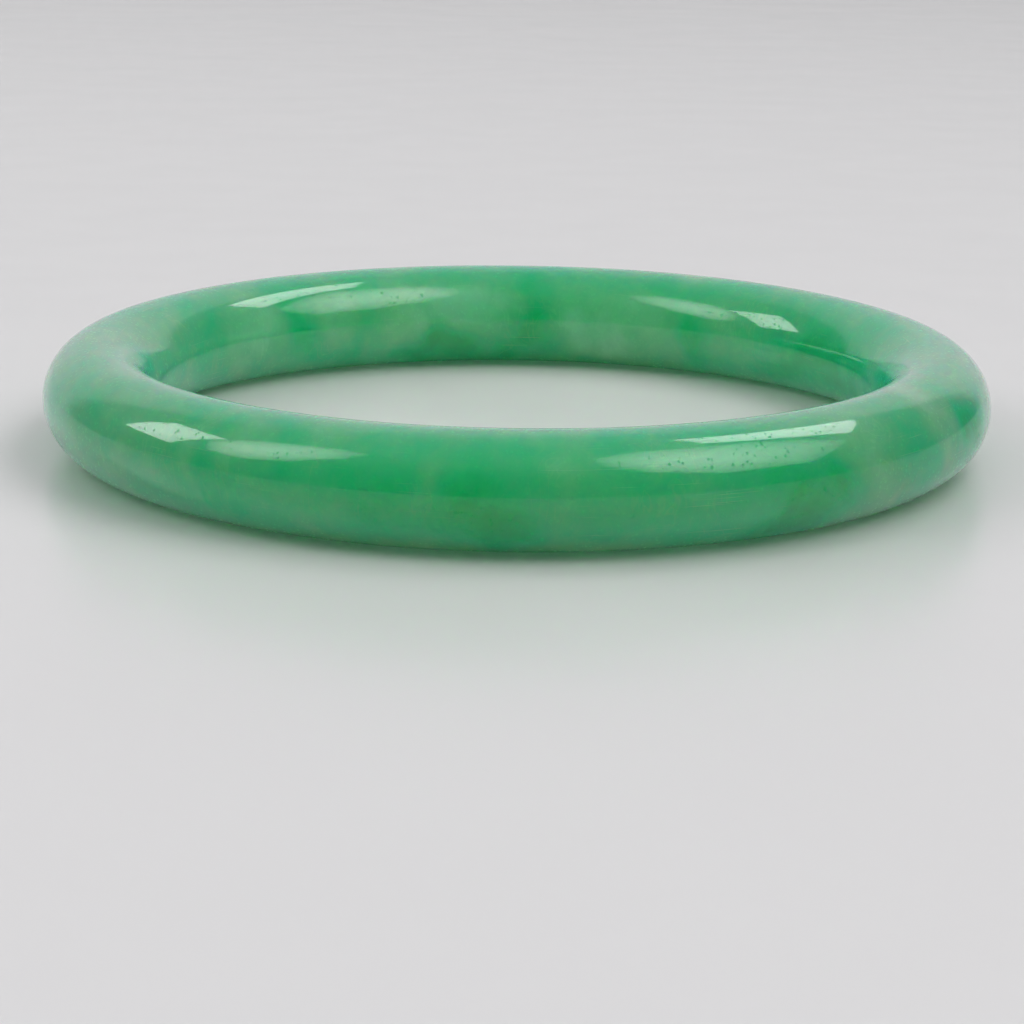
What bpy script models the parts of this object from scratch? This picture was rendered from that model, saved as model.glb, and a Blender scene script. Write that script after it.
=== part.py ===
"""A seamless round-bar jade bangle: one rigid ring, ground and polished from a single piece of stone.

The ring lies flat with its axis along +Z. The origin is the ring's centre, on the surface that it rests on.
"""

import math

import bpy

# Driving dimensions, in metres.
inner_diameter = 0.057  # the opening that the hand passes through
bar_diameter = 0.0085  # the thickness of the round bar

# How finely the round shapes are cut into flats.
ring_facets = 96  # round the ring
bar_facets = 32  # round the bar, a multiple of four, so that flats face up, down, in and out

# Where the bar's centre runs.
ring_radius = (inner_diameter + bar_diameter) / 2
bar_radius = bar_diameter / 2

# Polished stone, as linear colour.
stone_colour = (0.07, 0.32, 0.15, 1.0)
stone_roughness = 0.1


def clear_scene():
    """Leaves an empty scene for the model."""
    for found in list(bpy.data.objects):
        bpy.data.objects.remove(found)


def jade():
    """The one material: polished green stone."""
    material = bpy.data.materials.new("jade")
    material.use_nodes = True
    shader = material.node_tree.nodes["Principled BSDF"]
    shader.inputs["Base Color"].default_value = stone_colour
    shader.inputs["Roughness"].default_value = stone_roughness
    shader.inputs["Metallic"].default_value = 0.0
    return material


def bar_section():
    """The bar's outline where the ring starts, as points that run down the outer side and under the bar.

    Each flat touches the true round surface at its middle, so the lowest flats lie on the resting plane,
    and the ring keeps its real height, width and opening. The outline stands half a facet before +X,
    which puts the middle of one facet on that axis.
    """
    half_turn = math.pi / ring_facets
    half_flat = math.pi / bar_facets
    corner_radius = bar_radius / math.cos(half_flat)
    points = []
    for corner in range(bar_facets):
        angle = half_flat - 2 * half_flat * corner
        reach = ring_radius + corner_radius * math.cos(angle)
        height = bar_radius + corner_radius * math.sin(angle)
        points.append((reach, -reach * math.tan(half_turn), height))
    return points


def bangle_ring():
    """The section turned once about +Z, with its two ends welded into one seamless ring."""
    points = bar_section()
    edges = [(corner, (corner + 1) % bar_facets) for corner in range(bar_facets)]
    mesh = bpy.data.meshes.new("bangle_ring")
    mesh.from_pydata(points, edges, [])
    ring = bpy.data.objects.new("bangle_ring", mesh)
    bpy.context.scene.collection.objects.link(ring)
    mesh.materials.append(jade())

    turn = ring.modifiers.new("turn", "SCREW")
    turn.axis = "Z"
    turn.angle = 2 * math.pi
    turn.steps = ring_facets
    turn.render_steps = ring_facets
    turn.use_merge_vertices = True
    turn.merge_threshold = bar_radius / 1000
    turn.use_smooth_shade = True


clear_scene()
bangle_ring()
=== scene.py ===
import math

import bpy
import numpy as np
from mathutils import Matrix, Vector


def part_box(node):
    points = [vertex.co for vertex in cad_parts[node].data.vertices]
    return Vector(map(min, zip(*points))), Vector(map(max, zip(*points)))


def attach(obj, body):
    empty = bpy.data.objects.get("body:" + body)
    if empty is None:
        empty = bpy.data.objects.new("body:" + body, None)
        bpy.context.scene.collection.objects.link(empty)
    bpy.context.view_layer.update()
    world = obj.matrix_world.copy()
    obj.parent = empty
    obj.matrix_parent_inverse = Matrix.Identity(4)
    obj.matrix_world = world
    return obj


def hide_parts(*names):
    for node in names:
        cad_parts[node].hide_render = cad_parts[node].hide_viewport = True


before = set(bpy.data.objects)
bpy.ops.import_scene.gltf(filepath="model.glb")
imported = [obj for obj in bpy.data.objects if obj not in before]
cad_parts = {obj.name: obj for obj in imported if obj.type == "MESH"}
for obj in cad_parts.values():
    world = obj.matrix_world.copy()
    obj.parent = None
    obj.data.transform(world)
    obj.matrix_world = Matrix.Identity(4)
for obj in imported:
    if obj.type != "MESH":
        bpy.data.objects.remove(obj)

scene = bpy.context.scene
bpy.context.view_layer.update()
ringLow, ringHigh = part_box("bangle_ring")
barRadius = (ringHigh.z - ringLow.z) / 2
ringRadius = (ringHigh.x - ringLow.x) / 2 - barRadius    # to the middle of the bar
barCentre = ringLow.z + barRadius
print("frame loaded: ring radius", round(ringRadius, 5), "bar radius", round(barRadius, 5))


# Small helpers for meshes and node trees, which every function below shares.
def directionTo(azimuth, elevation):
    # a unit vector: azimuth 0 points at the viewer (-Y), 90 to the right, elevation up from the table
    a, e = math.radians(azimuth), math.radians(elevation)
    return Vector((math.sin(a) * math.cos(e), -math.cos(a) * math.cos(e), math.sin(e)))


def addObject(name, mesh):
    obj = bpy.data.objects.new(name, mesh)
    scene.collection.objects.link(obj)
    return obj


def newMaterial(name):
    material = bpy.data.materials.new(name)
    material.use_nodes = True
    return material, material.node_tree, material.node_tree.nodes["Principled BSDF"]


def setValue(tree, socket, value):
    # a link if the value is another node's socket, otherwise the socket's own number or colour
    if isinstance(value, bpy.types.NodeSocket):
        tree.links.new(value, socket)
    elif value is not None:
        socket.default_value = value


def mathNode(tree, operation, a, b=None, c=None, clamp=False):
    node = tree.nodes.new("ShaderNodeMath")
    node.operation = operation
    node.use_clamp = clamp
    for socket, value in zip(node.inputs, (a, b, c)):
        setValue(tree, socket, value)
    return node.outputs[0]


def splitNode(tree, vector):
    node = tree.nodes.new("ShaderNodeSeparateXYZ")
    setValue(tree, node.inputs[0], vector)
    return node.outputs


def mixColour(tree, factor, a, b, blend="MIX"):
    node = tree.nodes.new("ShaderNodeMix")
    node.data_type = "RGBA"
    node.blend_type = blend
    setValue(tree, node.inputs["Factor"], factor)
    setValue(tree, node.inputs[6], a)
    setValue(tree, node.inputs[7], b)
    return node.outputs[2]


def noiseNode(tree, vector, scale, detail=3.0, roughness=0.5, distortion=0.0):
    node = tree.nodes.new("ShaderNodeTexNoise")
    setValue(tree, node.inputs["Vector"], vector)
    setValue(tree, node.inputs["Scale"], scale)
    setValue(tree, node.inputs["Detail"], detail)
    setValue(tree, node.inputs["Roughness"], roughness)
    setValue(tree, node.inputs["Distortion"], distortion)
    return node.outputs["Fac"]


def rangeNode(tree, value, fromLow, fromHigh, toLow=0.0, toHigh=1.0):
    # maps fromLow..fromHigh to toLow..toHigh along a smooth step, and holds the ends
    node = tree.nodes.new("ShaderNodeMapRange")
    node.interpolation_type = "SMOOTHSTEP"
    for socket, number in zip(node.inputs, (value, fromLow, fromHigh, toLow, toHigh)):
        setValue(tree, socket, number)
    return node.outputs["Result"]


def rampNode(tree, value, stops):
    # a colour ramp from a list of (place, colour), straight between neighbours
    node = tree.nodes.new("ShaderNodeValToRGB")
    ramp = node.color_ramp
    while len(ramp.elements) < len(stops):
        ramp.elements.new(0.5)
    for element, (place, colour) in zip(ramp.elements, stops):
        element.position = place
        element.color = (*colour, 1.0)
    setValue(tree, node.inputs[0], value)
    return node.outputs["Color"]


def vectorNode(tree, operation, a, b):
    node = tree.nodes.new("ShaderNodeVectorMath")
    node.operation = operation
    setValue(tree, node.inputs[0], a)
    setValue(tree, node.inputs["Scale" if operation == "SCALE" else 1], b)
    return node.outputs[0]


def newGroup(name, takes, gives):
    # an empty node group; takes and gives map each socket's name to its kind
    group = bpy.data.node_groups.new(name, "ShaderNodeTree")
    for label, kind in takes.items():
        group.interface.new_socket(name=label, in_out="INPUT", socket_type="NodeSocket" + kind)
    for label, kind in gives.items():
        group.interface.new_socket(name=label, in_out="OUTPUT", socket_type="NodeSocket" + kind)
    return group, group.nodes.new("NodeGroupInput").outputs, group.nodes.new("NodeGroupOutput").inputs


def placeGroup(tree, group, values):
    # one use of a node group, with its inputs set by their names
    node = tree.nodes.new("ShaderNodeGroup")
    node.node_tree = group
    for label, value in values.items():
        setValue(tree, node.inputs[label], value)
    return node.outputs


# Camera: a long lens a little above the table, aimed just in front of the ring.
cameraValues = {
    "distance": 7.2 * ringRadius,
    "elevation": 12.1,
    "lens": 105.0,
    "aim": (-0.00024, -0.0222, 0.0),
    "roll": 0.75,
}


def makeCamera(values):
    # place = the middle of the ring + distance along the direction to the viewer, turned to the aim
    # and then rolled about its own line of sight
    data = bpy.data.cameras.new("camera")
    data.lens = values["lens"]
    data.sensor_width = 36.0
    data.clip_start = 0.01
    data.clip_end = 20.0
    camera = addObject("camera", data)
    place = Vector((0, 0, barCentre)) + values["distance"] * directionTo(0, values["elevation"])
    forward = Vector(values["aim"]) - place
    turn = forward.to_track_quat("-Z", "Y").to_matrix().to_4x4()
    camera.matrix_world = (
        Matrix.Translation(place) @ turn @ Matrix.Rotation(math.radians(values["roll"]), 4, "Z")
    )
    scene.camera = camera


makeCamera(cameraValues)
print("camera placed")

# Lamps: on each side a small bright window box and a large dim eight-sided box.
# Angles are in degrees; width and height are shares of the distance to the ring.
lamps = {
    "distance": 0.9,
    "leftWindow": {"azimuth": -100.8, "elevation": 31.2, "width": 0.34, "height": 0.39, "sides": 4,
                   "turn": -4.0, "lean": -6.0, "swing": 24.0, "glow": 4.9, "fade": 0.25},
    "leftOcta": {"azimuth": -71.0, "elevation": 43.0, "width": 0.44, "height": 0.71, "sides": 8,
                 "turn": 8.0, "lean": 0.0, "swing": 0.0, "glow": 3.6, "fade": 0.75},
    "rightWindow": {"azimuth": 131.0, "elevation": 56.6, "width": 0.32, "height": 0.58, "sides": 4,
                    "turn": 10.0, "lean": 50.0, "swing": -23.0, "glow": 4.9, "fade": 0.25},
    "rightOcta": {"azimuth": 60.0, "elevation": 54.0, "width": 0.91, "height": 0.95, "sides": 8,
                  "turn": 39.0, "lean": 23.0, "swing": 29.0, "glow": 3.7, "fade": 0.75},
}


def lampCloth(name, values):
    # brightness = glow * (1 - fade * rim squared), where rim is 0 at the middle and 1 at the corners
    material = bpy.data.materials.new(name + "Cloth")
    material.use_nodes = True
    tree = material.node_tree
    tree.nodes.clear()
    rim = tree.nodes.new("ShaderNodeAttribute")
    rim.attribute_name = "rim"
    square = mathNode(tree, "MULTIPLY", rim.outputs["Fac"], rim.outputs["Fac"])
    share = mathNode(tree, "MULTIPLY_ADD", square, -values["fade"], 1.0)
    emission = tree.nodes.new("ShaderNodeEmission")
    tree.links.new(mathNode(tree, "MULTIPLY", share, values["glow"]), emission.inputs["Strength"])
    output = tree.nodes.new("ShaderNodeOutputMaterial")
    tree.links.new(emission.outputs[0], output.inputs["Surface"])
    return material


def makeLamp(name, values, distance):
    # a flat regular outline, stretched to its width and height, turned in its own plane, then leaned
    # back by its top edge and swung back by its right edge
    side = values["sides"]
    corner = (np.arange(side) + 0.5) * 2 * np.pi / side
    reach = 0.5 / math.cos(math.pi / side)
    across = reach * np.cos(corner) * values["width"]
    upward = reach * np.sin(corner) * values["height"]
    turn, lean, swing = (math.radians(values[key]) for key in ("turn", "lean", "swing"))
    outward = np.array(directionTo(values["azimuth"], values["elevation"]))
    right = np.cross(outward, (0, 0, 1))
    right /= np.linalg.norm(right)
    rise = np.cross(right, outward)
    u = np.append(across * math.cos(turn) - upward * math.sin(turn), 0.0)
    v = np.append(across * math.sin(turn) + upward * math.cos(turn), 0.0)
    depth = 1 + v * math.sin(lean) + u * math.sin(swing)
    points = (depth[:, None] * outward + (u * math.cos(swing))[:, None] * right
              + (v * math.cos(lean))[:, None] * rise) * distance
    mesh = bpy.data.meshes.new(name)
    mesh.from_pydata(points.tolist(), [], [(side, k, (k + 1) % side) for k in range(side)])
    rim = mesh.attributes.new("rim", "FLOAT", "POINT")
    rim.data.foreach_set("value", [1.0] * side + [0.0])
    mesh.materials.append(lampCloth(name, values))
    lamp = addObject(name, mesh)
    lamp.visible_camera = False


for lampName in ("leftWindow", "leftOcta", "rightWindow", "rightOcta"):
    makeLamp(lampName, lamps[lampName], lamps["distance"])
print("lamps placed")

# The room: a white board behind the ring, a grey ceiling, and a dark room on the viewer's side.
room = {
    "board": (0.62, 0.62, 0.63),
    "dark": (0.10, 0.10, 0.10),
    "ceiling": (0.34, 0.34, 0.34),
    "seen": (0.655, 0.645, 0.655),    # what the camera itself sees past the table
    "boardEdge": (0.7, 0.82),         # where the board fades in, as the cosine of the turn from straight back
    "ceilingEdge": (0.6, 0.95),       # where the ceiling fades in, as the sine of the elevation
    "lopsided": 0.12,                 # the board ends nearer on the left than on the right by this
}


def makeRoom(values):
    # colour = dark, mixed into the board by how far back a direction points, and then into the ceiling
    # by how high it points
    world = bpy.data.worlds.new("room")
    world.use_nodes = True
    scene.world = world
    tree = world.node_tree
    background = tree.nodes["Background"]
    place = tree.nodes.new("ShaderNodeTexCoord").outputs["Generated"]
    x, y, z = splitNode(tree, place)
    # how far a direction is from straight back: y over the length of its level part
    level = mathNode(tree, "SQRT", mathNode(tree, "ADD", mathNode(tree, "MULTIPLY", x, x),
                                            mathNode(tree, "MULTIPLY", y, y)))
    back = mathNode(tree, "DIVIDE", y, mathNode(tree, "MAXIMUM", level, 0.001))
    edge = mathNode(tree, "MULTIPLY", x, values["lopsided"])
    board = rangeNode(tree, mathNode(tree, "SUBTRACT", back, edge), *values["boardEdge"])
    ceiling = rangeNode(tree, z, *values["ceilingEdge"])
    colour = mixColour(tree, board, (*values["dark"], 1), (*values["board"], 1))
    colour = mixColour(tree, ceiling, colour, (*values["ceiling"], 1))
    seen = tree.nodes.new("ShaderNodeLightPath").outputs["Is Camera Ray"]
    colour = mixColour(tree, seen, colour, (*values["seen"], 1))
    tree.links.new(colour, background.inputs["Color"])


makeRoom(room)

# Table: one pale, faintly glossy board, which lets a little light in.
table = {
    "size": 3.0,
    "colour": (0.83, 0.82, 0.83), "mottle": 0.015, "mottleScale": 40.0,
    "roughness": 0.24, "roughnessSpread": 0.02,
    "depth": 0.006,    # how far light spreads inside the board
}


def makeTable(values):
    # a square at height 0, centred under the ring
    half = values["size"] / 2
    corners = [(-half, -half, 0), (half, -half, 0), (half, half, 0), (-half, half, 0)]
    mesh = bpy.data.meshes.new("table")
    mesh.from_pydata(corners, [], [(0, 1, 2, 3)])
    material, tree, shader = newMaterial("paleBoard")
    place = tree.nodes.new("ShaderNodeTexCoord").outputs["Object"]
    mottle = noiseNode(tree, place, values["mottleScale"], 2.0)
    shader.inputs["Subsurface Weight"].default_value = 1.0
    shader.inputs["Subsurface Radius"].default_value = (1.0, 1.0, 1.0)
    shader.inputs["Subsurface Scale"].default_value = values["depth"]
    rough, spread = values["roughness"], values["roughnessSpread"]
    tree.links.new(rangeNode(tree, mottle, 0.3, 0.7, rough - spread, rough + spread),
                   shader.inputs["Roughness"])
    low = [(1 - values["mottle"]) * c for c in values["colour"]]
    tree.links.new(mixColour(tree, mottle, (*low, 1), (*values["colour"], 1)), shader.inputs["Base Color"])
    mesh.materials.append(material)
    board = addObject("table", mesh)


makeTable(table)
print("room and table made")

# The bangle: one ring of stone. All lengths in metres, angles in degrees.
bangle = {
    "ringSteps": 720,
    "barSteps": 136,
    "polishWave": 0.00002,    # how far hand polishing leaves the bar from a true circle
    # the stone's colours from deepest to palest, each with its tone
    "colours": [(0.0, (0.0, 0.38, 0.13)), (0.2, (0.0, 0.50, 0.19)), (0.36, (0.015, 0.545, 0.235)),
                (0.5, (0.05, 0.535, 0.255)), (0.65, (0.12, 0.54, 0.265)), (0.8, (0.18, 0.59, 0.30)),
                (1.0, (0.30, 0.70, 0.40))],
    # light inside the stone: how much goes straight through, how much it bends, how far it spreads, the
    # shares of that for red, green and blue, and how much of it keeps going forward
    "clearness": 0.48, "bending": 1.4, "spread": 0.04, "spreadColours": (0.1, 1.0, 0.4), "forward": 0.8,
    "bodyRoughness": (0.36, 0.44),
    "polish": 0.055, "polishBending": 1.58,    # roughness and refraction of the polished skin
    "billowSize": 0.0036, "billows": 0.55, "threads": 0.10, "grain": 0.05,
    "lineWidth": 0.00009, "lineLength": 0.006, "lines": 0.3, "linesHide": 0.3,
    "lineColour": (0.5, 0.7, 0.55), "linePatches": 160.0,
    "dustSpacing": 0.00034, "dustSize": 0.00011, "dustShare": 0.55, "dustHides": 0.9,
    "pitSpacing": 0.001, "pitSize": 0.00014, "pitShare": 0.8, "pitDepth": 0.00001, "bump": 0.5,
    "warp": 0.0009, "warpWaves": (0.008, 0.003),    # how far the clouds' edges wander, and how often
    "haze": [(0.012, 0.05, 5), (0.004, 0.035, 6)],    # each: wavelength, amount, seed
    # each cloud of the stone, or band of painted light (the last four): angle round the ring (0 right,
    # -90 front, 90 back), angle round the bar (0 outside, 90 top, 180 inside), half lengths along both, how
    # far it leans round the ring as it rises a quarter of the bar, and how much paler (or deeper, if minus)
    # it is
    "cloudsAndPaintedLight": [
        # left end and front left, outside and top
        (-165, 85, 16, 50, 4, 0.10), (-174, 152, 8, 20, 0, -0.40), (-152, -20, 12, 40, 3, 0.16),
        (-140, 60, 10, 30, 3, 0.16), (-126, 40, 1.8, 70, 2, 0.24), (-119, 20, 2.0, 60, -2, 0.20),
        (-136, 10, 6, 36, 3, 0.10), (-112, -20, 4, 36, 0, 0.16), (-112, 75, 7, 22, 0, 0.16),
        (-107, 10, 2.8, 60, 1, -0.20),
        # middle of the front, with its deep green patch
        (-100, 10, 2.2, 46, 0, 0.16), (-92, 8, 4.6, 34, -1, -0.20), (-91.5, -44, 5.5, 38, 0, -0.34),
        (-84, 20, 3.0, 60, 1, 0.20), (-74, -10, 8, 70, 0, 0.08), (-88, 90, 18, 20, 0, 0.14),
        # front right and right end: two deep patches with pale bands beside them
        (-62, 30, 5.0, 36, 0, -0.14), (-57, -18, 4.6, 44, 0, -0.34), (-60, -55, 5, 26, 0, -0.32),
        (-46, 0, 6.5, 60, -3, 0.34), (-31.5, 30, 3.4, 80, 1, 0.38), (-23, 24, 5.0, 34, 1, -0.50),
        (-13, 90, 12, 46, 0, 0.06), (-12, 0, 7, 40, 0, 0.14),
        # inside of the right end and of the back, from right to left
        (-6, 160, 9, 24, 0, -0.44), (10, 176, 16, 20, 0, -0.30), (30, 188, 14, 28, 0, -0.42),
        (20, 125, 16, 30, 0, -0.06), (46, 120, 8, 26, -4, 0.06), (50, 172, 8, 26, 0, 0.16),
        (59.5, 190, 2.8, 36, 0, -0.30), (73, 180, 11.5, 32, 0, 0.32), (88.5, 150, 2.6, 50, 0, -0.14),
        (89, 208, 4, 34, 0, -0.34), (101, 160, 10, 32, 1, 0.50), (104, 222, 9, 28, 0, -0.50),
        (118, 190, 4, 24, 0, -0.10), (123, 165, 4, 36, 0, 0.36), (131, 168, 3.0, 40, 0, -0.28),
        (141, 160, 7, 34, 4, 0.34), (154, 112, 3, 24, 8, -0.22), (168, 130, 12, 40, 3, 0.20),
        (90, 150, 80, 60, 0, 0.08),
        # underside and outside of the back
        (-150, -90, 9, 36, 0, -0.30), (-108, -100, 8, 30, 4, 0.30), (-40, -105, 9, 30, -4, -0.34),
        (15, -70, 8, 60, 4, 0.40), (45, 0, 6, 60, -3, -0.46), (62, 40, 5, 70, 3, 0.40),
        (88, -20, 7, 60, 2, -0.44), (110, 10, 5, 70, -2, 0.46), (135, -30, 7, 50, 3, -0.36),
        (160, -60, 9, 60, 0, 0.30),
        # painted light, not the stone's colour: long soft bands that paint light on the upper front and the
        # top of the front and shade on the lower front, and a pale band round the whole underside painting
        # light coming through the stone
        (-90, 60, 85, 30, 0, 0.06), (-90, -20, 85, 36, 0, -0.07), (-90, 97, 90, 16, 0, 0.08),
        (-90, -82, 400, 22, 0, 0.34),
    ],
}


def softWaves(points, wavelength, count, seed):
    # cloudy noise, about -1 to 1: the sum of `count` plane waves in random directions over sqrt(count)
    random = np.random.default_rng(seed)
    direction = random.normal(size=(3, count))
    direction *= 2 * np.pi / wavelength * random.uniform(0.6, 1.5, count) / np.linalg.norm(direction, axis=0)
    return np.cos(points @ direction + random.uniform(0, 2 * np.pi, count)).sum(axis=-1) / math.sqrt(count)


def surfaceGrid(values):
    # point = ((R + r cos b) cos a, (R + r cos b) sin a, c + r sin b), where a runs round the ring,
    # b round the bar, and r is the bar's radius less a shallow wave left by the polisher's hand
    a, b = np.meshgrid(
        np.linspace(0, 2 * np.pi, values["ringSteps"], endpoint=False),
        np.linspace(0, 2 * np.pi, values["barSteps"], endpoint=False), indexing="ij")
    wave = (np.sin(3 * a + 1.0) * np.cos(b) + np.sin(7 * a + 2 * b) + np.cos(13 * a - b + 0.5)) / 3
    r = barRadius - values["polishWave"] * (0.5 + 0.5 * wave)
    reach = ringRadius + r * np.cos(b)
    points = np.stack((reach * np.cos(a), reach * np.sin(a), barCentre + r * np.sin(b)), axis=-1)
    return a, b, points


def cloudTone(values, a, b, points):
    # tone = 0.5 + a faint haze of waves + the sum of every cloud's and painted-light band's amount *
    # exp(-(distance from its middle, in half lengths) to the power 2.6), with both angles first pushed about
    # by waves
    longWave, shortWave = values["warpWaves"]

    def pushed(angle, radius, seed):
        # angle + warp / radius * (long waves + 0.4 * short waves), in degrees
        shift = values["warp"] / radius
        short = 0.4 * shift * softWaves(points, shortWave, 24, seed + 1)
        return np.degrees(angle + shift * softWaves(points, longWave, 24, seed) + short)

    ringAngle = pushed(a, ringRadius, 1)
    barAngle = pushed(b, barRadius, 3)
    tone = 0.5
    for wavelength, amount, seed in values["haze"]:
        tone = tone + amount * softWaves(points, wavelength, 32, seed)
    for ringMiddle, barMiddle, ringHalf, barHalf, lean, amount in values["cloudsAndPaintedLight"]:
        up = (barAngle - barMiddle + 180) % 360 - 180
        along = (ringAngle - ringMiddle - lean * np.sin(np.radians(up)) + 180) % 360 - 180
        away = np.hypot(along / ringHalf, up / barHalf)
        tone += amount * np.exp(-away ** 2.6)
    return np.clip(tone, 0, 1)


def gridFaces(rows, columns):
    # four corners each: (i, j), (i + 1, j), (i + 1, j + 1), (i, j + 1), closed both ways
    i, j = np.meshgrid(np.arange(rows), np.arange(columns), indexing="ij")
    ni, nj = (i + 1) % rows, (j + 1) % columns
    corners = (i * columns + j, ni * columns + j, ni * columns + nj, i * columns + nj)
    return np.stack(corners, axis=-1).reshape(-1, 4)


def stoneDepthGroup():
    # tone out = tone in + soft billows + smaller billows + pale threads, which run where a stretched
    # noise crosses its middle, and only inside some patches + fine crystal grain
    group, take, give = newGroup("stoneDepth", {
        "Place": "Vector", "Tone": "Float", "Billow Size": "Float", "Billows": "Float",
        "Threads": "Float", "Grain": "Float"}, {"Tone": "Float", "Grain": "Float"})
    scale = mathNode(group, "DIVIDE", 1.0, take["Billow Size"])
    billow = mathNode(group, "SUBTRACT", noiseNode(group, take["Place"], scale, 4.0, 0.55, 0.8), 0.5)
    small = mathNode(group, "SUBTRACT", noiseNode(
        group, take["Place"], mathNode(group, "MULTIPLY", scale, 3.3), 3.0, 0.6, 1.2), 0.5)
    soft = mathNode(group, "MULTIPLY", mathNode(group, "MULTIPLY_ADD", small, 0.3, billow), take["Billows"])
    # the threads lie across the bar and lean one way
    leaned = vectorNode(group, "MULTIPLY", take["Place"], (1.0, 1.0, 0.35))
    fold = noiseNode(group, leaned, mathNode(group, "MULTIPLY", scale, 1.7), 2.0, 0.5, 1.5)
    away = mathNode(group, "ABSOLUTE", mathNode(group, "SUBTRACT", fold, 0.5))
    line = rangeNode(group, away, 0.0, 0.035, 1.0, 0.0)
    wide = noiseNode(group, take["Place"], mathNode(group, "MULTIPLY", scale, 0.6), 1.0)
    patch = rangeNode(group, wide, 0.5, 0.66)
    thread = mathNode(group, "MULTIPLY", mathNode(group, "MULTIPLY", line, patch), take["Threads"])
    crystal = mathNode(group, "SUBTRACT", noiseNode(
        group, take["Place"], mathNode(group, "MULTIPLY", scale, 14.0), 4.0, 0.7), 0.5)
    tone = mathNode(group, "ADD", take["Tone"], mathNode(group, "ADD", soft, thread))
    setValue(group, give["Tone"], mathNode(group, "MULTIPLY_ADD", crystal, take["Grain"], tone))
    setValue(group, give["Grain"], mathNode(group, "ADD", crystal, 0.5))
    return group


def polishMarksGroup():
    # hairlines: the highest crests of a noise that is drawn out along the ring, kept in a few patches
    group, take, give = newGroup("polishMarks", {
        "Place": "Vector", "Line Width": "Float", "Line Length": "Float", "Patches": "Float",
        "Amount": "Float"}, {"Marks": "Float"})
    x, y, z = splitNode(group, take["Place"])
    across = mathNode(group, "DIVIDE", 1.0, take["Line Width"])
    along = mathNode(group, "DIVIDE", 1.0, take["Line Length"])
    joined = group.nodes.new("ShaderNodeCombineXYZ")
    for socket, value, scale in zip(joined.inputs, (x, y, z), (along, along, across)):
        setValue(group, socket, mathNode(group, "MULTIPLY", value, scale))
    reach = mathNode(group, "SQRT", mathNode(group, "ADD", mathNode(group, "MULTIPLY", x, x),
                                             mathNode(group, "MULTIPLY", y, y)))
    noise = group.nodes.new("ShaderNodeTexNoise")
    noise.noise_dimensions = "4D"
    setValue(group, noise.inputs["Vector"], joined.outputs[0])
    setValue(group, noise.inputs["W"], mathNode(group, "MULTIPLY", reach, across))
    noise.inputs["Scale"].default_value = 1.0
    noise.inputs["Detail"].default_value = 1.0
    crest = rangeNode(group, noise.outputs["Fac"], 0.66, 0.74)
    patch = rangeNode(group, noiseNode(group, take["Place"], take["Patches"], 2.0), 0.5, 0.62)
    setValue(group, give["Marks"], mathNode(group, "MULTIPLY", mathNode(group, "MULTIPLY", crest, patch),
                                            take["Amount"], clamp=True))
    return group


def dustGroup():
    # specks: round spots at random places about one spacing apart, of random size; share is how many
    # of them are kept
    group, take, give = newGroup("dust", {
        "Place": "Vector", "Spacing": "Float", "Size": "Float", "Share": "Float"}, {"Specks": "Float"})
    cells = group.nodes.new("ShaderNodeTexVoronoi")
    cells.feature = "F1"
    setValue(group, cells.inputs["Vector"], take["Place"])
    setValue(group, cells.inputs["Scale"], mathNode(group, "DIVIDE", 1.0, take["Spacing"]))
    luck, other = splitNode(group, cells.outputs["Color"])[:2]
    size = mathNode(group, "MULTIPLY", take["Size"], mathNode(group, "MULTIPLY_ADD", other, 0.8, 0.6))
    size = mathNode(group, "DIVIDE", size, take["Spacing"])
    spot = rangeNode(group, cells.outputs["Distance"], mathNode(group, "MULTIPLY", size, 0.5), size, 1.0, 0.0)
    kept = mathNode(group, "LESS_THAN", luck, take["Share"])
    setValue(group, give["Specks"], mathNode(group, "MULTIPLY", spot, kept))
    return group


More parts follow.
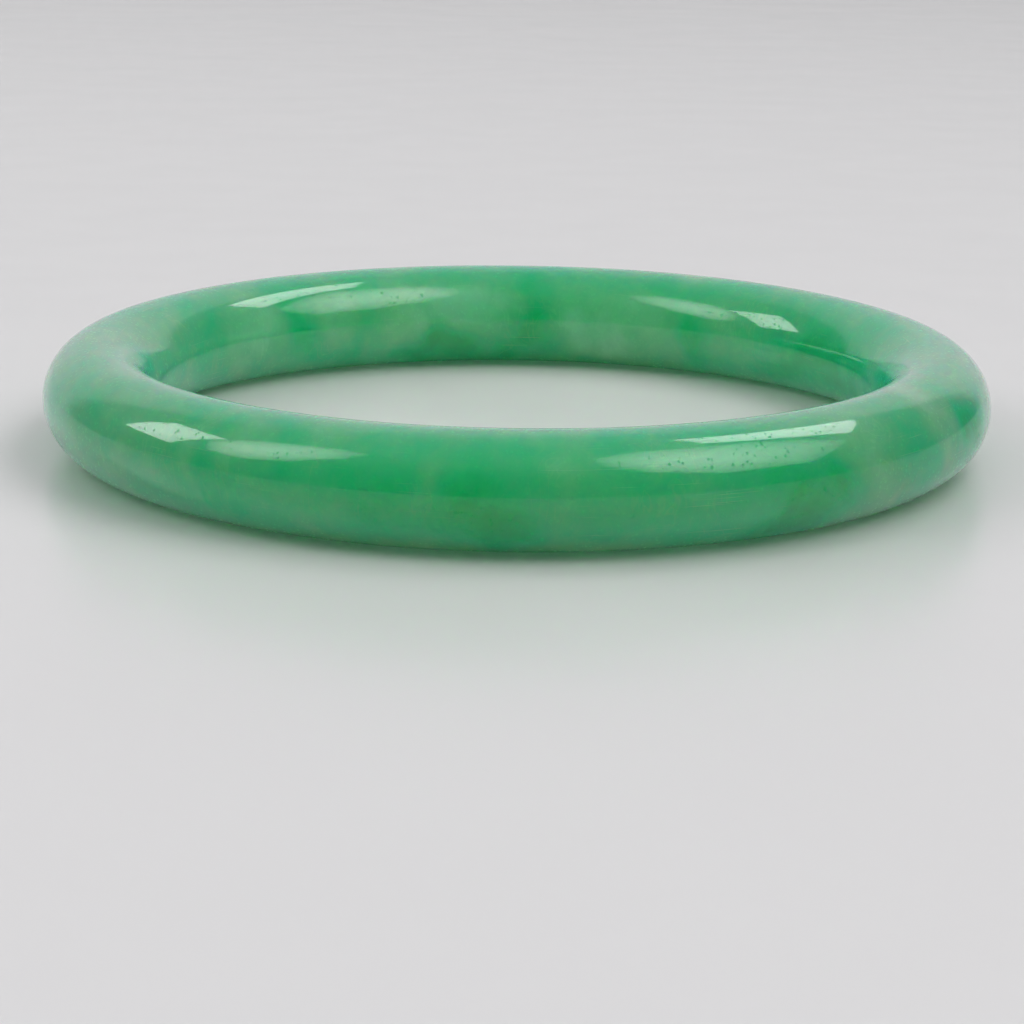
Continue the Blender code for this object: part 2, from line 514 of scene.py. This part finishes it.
def jadeMaterial(values):
    # a clouded translucent body under a clear polished skin, which specks and hairlines interrupt
    material, tree, shader = newMaterial("jade")
    place = tree.nodes.new("ShaderNodeTexCoord").outputs["Object"]
    tone = tree.nodes.new("ShaderNodeAttribute")
    tone.attribute_name = "tone"
    depth = placeGroup(tree, stoneDepthGroup(), {
        "Place": place, "Tone": tone.outputs["Fac"], "Billow Size": values["billowSize"],
        "Billows": values["billows"], "Threads": values["threads"], "Grain": values["grain"]})
    marks = placeGroup(tree, polishMarksGroup(), {
        "Place": place, "Line Width": values["lineWidth"], "Line Length": values["lineLength"],
        "Patches": values["linePatches"], "Amount": values["lines"]})["Marks"]
    dust = dustGroup()
    fine = placeGroup(tree, dust, {"Place": place, "Spacing": values["dustSpacing"],
                                   "Size": values["dustSize"], "Share": values["dustShare"]})["Specks"]
    pits = placeGroup(tree, dust, {"Place": place, "Spacing": values["pitSpacing"],
                                   "Size": values["pitSize"], "Share": values["pitShare"]})["Specks"]
    specks = mathNode(tree, "MAXIMUM", fine, pits)
    stone = rampNode(tree, depth["Tone"], values["colours"])
    colour = mixColour(tree, marks, stone, (*values["lineColour"], 1))
    tree.links.new(colour, shader.inputs["Base Color"])
    tree.links.new(rangeNode(tree, depth["Grain"], 0.2, 0.8, *values["bodyRoughness"]),
                   shader.inputs["Roughness"])
    polish = mathNode(tree, "MULTIPLY_ADD", specks, -values["dustHides"], 1.0)
    polish = mathNode(tree, "MULTIPLY_ADD", marks, -values["linesHide"], polish, clamp=True)
    tree.links.new(polish, shader.inputs["Coat Weight"])
    bump = tree.nodes.new("ShaderNodeBump")
    bump.inputs["Strength"].default_value = values["bump"]
    bump.inputs["Distance"].default_value = values["pitDepth"]
    tree.links.new(mathNode(tree, "SUBTRACT", mathNode(tree, "MULTIPLY", depth["Grain"], 0.3), specks),
                   bump.inputs["Height"])
    tree.links.new(bump.outputs["Normal"], shader.inputs["Normal"])
    fixed = {
        "Specular IOR Level": 0.0,    # the skin alone mirrors the room
        "IOR": values["bending"],
        "Transmission Weight": values["clearness"],
        "Subsurface Weight": 1.0,
        "Subsurface Radius": values["spreadColours"],
        "Subsurface Scale": values["spread"],
        "Subsurface Anisotropy": values["forward"],
        "Coat Roughness": values["polish"],
        "Coat IOR": values["polishBending"],
    }
    for label, value in fixed.items():
        shader.inputs[label].default_value = value
    return material


def makeBangle(values):
    # the grid's points and quads, put into one closed mesh with its tone at every point
    a, b, points = surfaceGrid(values)
    faces = gridFaces(*a.shape)
    mesh = bpy.data.meshes.new("jadeRing")
    mesh.vertices.add(points.size // 3)
    mesh.vertices.foreach_set("co", points.astype(np.float32).ravel())
    mesh.loops.add(faces.size)
    mesh.loops.foreach_set("vertex_index", faces.astype(np.int32).ravel())
    mesh.polygons.add(len(faces))
    mesh.polygons.foreach_set("loop_start", np.arange(0, faces.size, 4, dtype=np.int32))
    mesh.update(calc_edges=True)
    mesh.shade_smooth()
    mesh.validate()
    tone = mesh.attributes.new("tone", "FLOAT", "POINT")
    tone.data.foreach_set("value", cloudTone(values, a, b, points).astype(np.float32).ravel())
    mesh.materials.append(jadeMaterial(values))
    return addObject("jadeRing", mesh)


jadeRing = makeBangle(bangle)
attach(jadeRing, "root")
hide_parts("bangle_ring")
print("bangle made:", len(jadeRing.data.polygons), "quads")

scene.view_settings.view_transform = "Standard"
